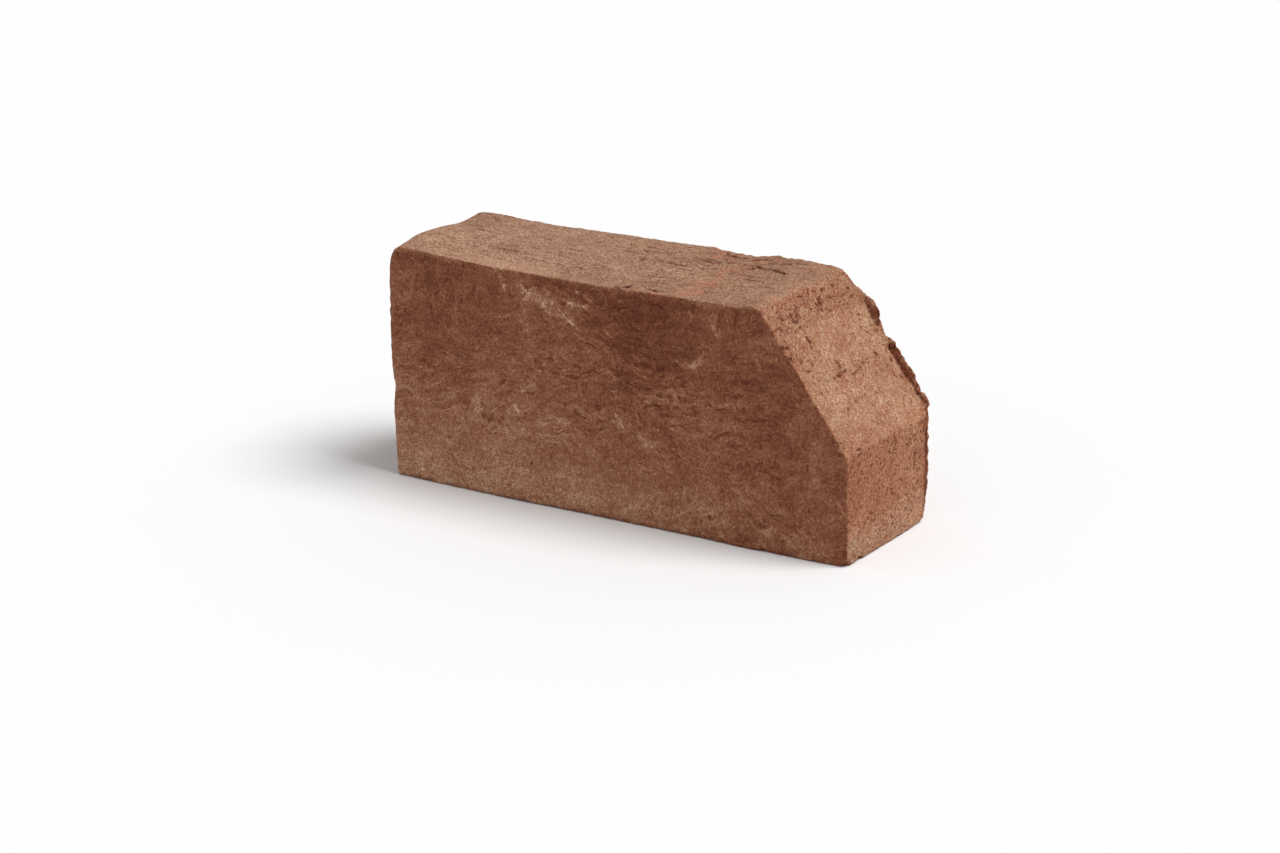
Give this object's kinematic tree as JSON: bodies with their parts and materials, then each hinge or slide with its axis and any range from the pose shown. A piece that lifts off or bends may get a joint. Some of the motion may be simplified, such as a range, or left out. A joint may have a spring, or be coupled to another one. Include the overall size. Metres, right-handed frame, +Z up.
{
  "type": "cant brick",
  "caption": "Hand-moulded solid clay brick with one top corner cut off at a slope, standing on a long narrow face.",
  "frame": {"origin": "middle of the long narrow face that the brick stands on", "axes": "+X along the length towards the cut corner, +Y through the thickness from bed face to bed face, +Z up"},
  "size_m": [0.2056, 0.058, 0.093],
  "materials": {
    "fired_clay": "matte, sandy"
  },
  "bodies": {
    "root": {"brick": "fired_clay"}
  },
  "joints": []
}
